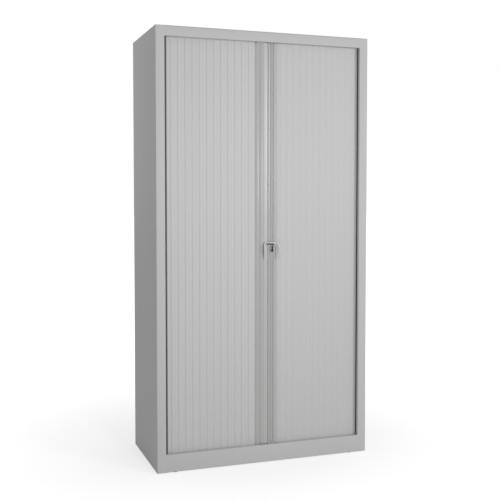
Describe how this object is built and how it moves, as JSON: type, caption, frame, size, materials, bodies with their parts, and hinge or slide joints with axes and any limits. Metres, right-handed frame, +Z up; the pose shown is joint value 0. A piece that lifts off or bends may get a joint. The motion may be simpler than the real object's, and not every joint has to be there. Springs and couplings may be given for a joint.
{
  "type": "tambour cupboard",
  "caption": "Tall steel office cupboard with two sideways-rolling doors of upright slats, a shared arched grip with a key lock, a plinth and adjustable shelves.",
  "frame": {"origin": "centre of the 960 x 450 mm footprint, on the floor", "axes": "X to the right as one faces the doors, Y to the back, Z up; the doors face -Y"},
  "size_m": [0.96, 0.45, 1.85],
  "materials": {
    "shell_paint": "light grey powder coat, fine texture",
    "inside_paint": "light grey powder coat",
    "slat_plastic": "light grey, satin",
    "rail_plastic": "light grey, satin",
    "pad_rubber": "black, soft",
    "grip_plastic": "light grey, moulded",
    "runner_plastic": "white, waxy",
    "glide_plastic": "black",
    "lock_chrome": "nickel plated",
    "zinc": "zinc plated",
    "key_plastic": "black bow"
  },
  "bodies": {
    "cabinet": {"right_side_panel": "shell_paint", "left_side_panel": "shell_paint", "top_panel": "shell_paint", "top_rail": "shell_paint", "plinth_rail": "shell_paint", "rear_base_rail": "shell_paint", "back_panel": "shell_paint", "floor_glides": "glide_plastic", "base_deck": "inside_paint", "ceiling_panel": "inside_paint", "right_liner": "inside_paint", "left_liner": "inside_paint", "bottom_track": "zinc", "top_track": "zinc", "right_uprights": "zinc", "left_uprights": "zinc", "shelf_1": "inside_paint", "shelf_2": "inside_paint", "shelf_3": "inside_paint", "shelf_4": "inside_paint", "shelf_clips": "zinc"},
    "left_door": {"left_lead_rail": "rail_plastic", "left_runners": "runner_plastic", "left_grip": "grip_plastic", "left_finger_pad": "pad_rubber", "left_slat_01": "slat_plastic", "striker": "zinc"},
    "right_door": {"right_lead_rail": "rail_plastic", "right_runners": "runner_plastic", "right_grip": "grip_plastic", "right_finger_pad": "pad_rubber", "right_slat_01": "slat_plastic", "lock_barrel": "lock_chrome"},
    "lock": {"lock_plug": "lock_chrome", "lock_cam": "zinc", "key": "key_plastic"},
    "left_slat_02_body": {"left_slat_02": "slat_plastic"},
    "left_slat_03_body": {"left_slat_03": "slat_plastic"},
    "left_slat_04_body": {"left_slat_04": "slat_plastic"},
    "left_slat_05_body": {"left_slat_05": "slat_plastic"},
    "left_slat_06_body": {"left_slat_06": "slat_plastic"},
    "left_slat_07_body": {"left_slat_07": "slat_plastic"},
    "left_slat_08_body": {"left_slat_08": "slat_plastic"},
    "left_slat_09_body": {"left_slat_09": "slat_plastic"},
    "left_slat_10_body": {"left_slat_10": "slat_plastic"},
    "left_slat_11_body": {"left_slat_11": "slat_plastic"},
    "left_slat_12_body": {"left_slat_12": "slat_plastic"},
    "left_slat_13_body": {"left_slat_13": "slat_plastic"},
    "right_slat_02_body": {"right_slat_02": "slat_plastic"},
    "right_slat_03_body": {"right_slat_03": "slat_plastic"},
    "right_slat_04_body": {"right_slat_04": "slat_plastic"},
    "right_slat_05_body": {"right_slat_05": "slat_plastic"},
    "right_slat_06_body": {"right_slat_06": "slat_plastic"},
    "right_slat_07_body": {"right_slat_07": "slat_plastic"},
    "right_slat_08_body": {"right_slat_08": "slat_plastic"},
    "right_slat_09_body": {"right_slat_09": "slat_plastic"},
    "right_slat_10_body": {"right_slat_10": "slat_plastic"},
    "right_slat_11_body": {"right_slat_11": "slat_plastic"},
    "right_slat_12_body": {"right_slat_12": "slat_plastic"},
    "right_slat_13_body": {"right_slat_13": "slat_plastic"}
  },
  "joints": [
    {"name": "left_door_slide", "type": "slide", "parent": "cabinet", "child": "left_door", "axis": [-1, 0, 0], "range_m": [0, 0.388]},
    {"name": "left_slat_02_slide", "type": "slide", "parent": "cabinet", "child": "left_slat_02_body", "axis": [-1, 0.0019, 0], "range_m": [0, 0.374]},
    {"name": "left_slat_03_slide", "type": "slide", "parent": "cabinet", "child": "left_slat_03_body", "axis": [-1, 0.0068, 0], "range_m": [0, 0.34301]},
    {"name": "left_slat_04_slide", "type": "slide", "parent": "cabinet", "child": "left_slat_04_body", "axis": [-0.9999, 0.0126, 0], "range_m": [0, 0.31203]},
    {"name": "left_slat_05_slide", "type": "slide", "parent": "cabinet", "child": "left_slat_05_body", "axis": [-0.9998, 0.0196, 0], "range_m": [0, 0.28105]},
    {"name": "left_slat_06_slide", "type": "slide", "parent": "cabinet", "child": "left_slat_06_body", "axis": [-0.9996, 0.0285, 0], "range_m": [0, 0.2501]},
    {"name": "left_slat_07_slide", "type": "slide", "parent": "cabinet", "child": "left_slat_07_body", "axis": [-0.9992, 0.0398, 0], "range_m": [0, 0.21918]},
    {"name": "left_slat_08_slide", "type": "slide", "parent": "cabinet", "child": "left_slat_08_body", "axis": [-0.9985, 0.0548, 0], "range_m": [0, 0.18828]},
    {"name": "left_slat_09_slide", "type": "slide", "parent": "cabinet", "child": "left_slat_09_body", "axis": [-0.9971, 0.0757, 0], "range_m": [0, 0.15745]},
    {"name": "left_slat_10_slide", "type": "slide", "parent": "cabinet", "child": "left_slat_10_body", "axis": [-0.9943, 0.1067, 0], "range_m": [0, 0.12673]},
    {"name": "left_slat_11_slide", "type": "slide", "parent": "cabinet", "child": "left_slat_11_body", "axis": [-0.9876, 0.1572, 0], "range_m": [0, 0.0962]},
    {"name": "left_slat_12_slide", "type": "slide", "parent": "cabinet", "child": "left_slat_12_body", "axis": [-0.9675, 0.2528, 0], "range_m": [0, 0.06615]},
    {"name": "left_slat_13_slide", "type": "slide", "parent": "cabinet", "child": "left_slat_13_body", "axis": [-0.921, 0.3896, 0], "range_m": [0, 0.04581]},
    {"name": "right_door_slide", "type": "slide", "parent": "cabinet", "child": "right_door", "axis": [1, 0, 0], "range_m": [0, 0.372]},
    {"name": "right_slat_02_slide", "type": "slide", "parent": "cabinet", "child": "right_slat_02_body", "axis": [1, 0.002, 0], "range_m": [0, 0.358]},
    {"name": "right_slat_03_slide", "type": "slide", "parent": "cabinet", "child": "right_slat_03_body", "axis": [1, 0.0071, 0], "range_m": [0, 0.32701]},
    {"name": "right_slat_04_slide", "type": "slide", "parent": "cabinet", "child": "right_slat_04_body", "axis": [0.9999, 0.0133, 0], "range_m": [0, 0.29603]},
    {"name": "right_slat_05_slide", "type": "slide", "parent": "cabinet", "child": "right_slat_05_body", "axis": [0.9998, 0.0208, 0], "range_m": [0, 0.26506]},
    {"name": "right_slat_06_slide", "type": "slide", "parent": "cabinet", "child": "right_slat_06_body", "axis": [0.9995, 0.0304, 0], "range_m": [0, 0.23411]},
    {"name": "right_slat_07_slide", "type": "slide", "parent": "cabinet", "child": "right_slat_07_body", "axis": [0.9991, 0.0429, 0], "range_m": [0, 0.20319]},
    {"name": "right_slat_08_slide", "type": "slide", "parent": "cabinet", "child": "right_slat_08_body", "axis": [0.9982, 0.0599, 0], "range_m": [0, 0.17231]},
    {"name": "right_slat_09_slide", "type": "slide", "parent": "cabinet", "child": "right_slat_09_body", "axis": [0.9964, 0.0843, 0], "range_m": [0, 0.1415]},
    {"name": "right_slat_10_slide", "type": "slide", "parent": "cabinet", "child": "right_slat_10_body", "axis": [0.9925, 0.122, 0], "range_m": [0, 0.11083]},
    {"name": "right_slat_11_slide", "type": "slide", "parent": "cabinet", "child": "right_slat_11_body", "axis": [0.9822, 0.188, 0], "range_m": [0, 0.08044]},
    {"name": "right_slat_12_slide", "type": "slide", "parent": "cabinet", "child": "right_slat_12_body", "axis": [0.9443, 0.329, 0], "range_m": [0, 0.05083]},
    {"name": "right_slat_13_slide", "type": "slide", "parent": "cabinet", "child": "right_slat_13_body", "axis": [0.8909, 0.4543, 0], "range_m": [0, 0.03838]},
    {"name": "key_turn", "type": "hinge", "parent": "right_door", "child": "lock", "pos_m": [0.033, -0.2095, 0.926], "axis": [0, -1, 0], "range_deg": [0, 90]}
  ],
  "couplings": [
    {"joint": "left_slat_02_slide", "follows": "left_door_slide", "ratio": 0.96392},
    {"joint": "left_slat_03_slide", "follows": "left_door_slide", "ratio": 0.88404},
    {"joint": "left_slat_04_slide", "follows": "left_door_slide", "ratio": 0.80419},
    {"joint": "left_slat_05_slide", "follows": "left_door_slide", "ratio": 0.72437},
    {"joint": "left_slat_06_slide", "follows": "left_door_slide", "ratio": 0.64459},
    {"joint": "left_slat_07_slide", "follows": "left_door_slide", "ratio": 0.56488},
    {"joint": "left_slat_08_slide", "follows": "left_door_slide", "ratio": 0.48527},
    {"joint": "left_slat_09_slide", "follows": "left_door_slide", "ratio": 0.4058},
    {"joint": "left_slat_10_slide", "follows": "left_door_slide", "ratio": 0.32661},
    {"joint": "left_slat_11_slide", "follows": "left_door_slide", "ratio": 0.24793},
    {"joint": "left_slat_12_slide", "follows": "left_door_slide", "ratio": 0.17049},
    {"joint": "left_slat_13_slide", "follows": "left_door_slide", "ratio": 0.11807},
    {"joint": "right_slat_02_slide", "follows": "right_door_slide", "ratio": 0.96237},
    {"joint": "right_slat_03_slide", "follows": "right_door_slide", "ratio": 0.87905},
    {"joint": "right_slat_04_slide", "follows": "right_door_slide", "ratio": 0.79577},
    {"joint": "right_slat_05_slide", "follows": "right_door_slide", "ratio": 0.71252},
    {"joint": "right_slat_06_slide", "follows": "right_door_slide", "ratio": 0.62932},
    {"joint": "right_slat_07_slide", "follows": "right_door_slide", "ratio": 0.5462},
    {"joint": "right_slat_08_slide", "follows": "right_door_slide", "ratio": 0.4632},
    {"joint": "right_slat_09_slide", "follows": "right_door_slide", "ratio": 0.38038},
    {"joint": "right_slat_10_slide", "follows": "right_door_slide", "ratio": 0.29792},
    {"joint": "right_slat_11_slide", "follows": "right_door_slide", "ratio": 0.21622},
    {"joint": "right_slat_12_slide", "follows": "right_door_slide", "ratio": 0.13664},
    {"joint": "right_slat_13_slide", "follows": "right_door_slide", "ratio": 0.10318}
  ]
}
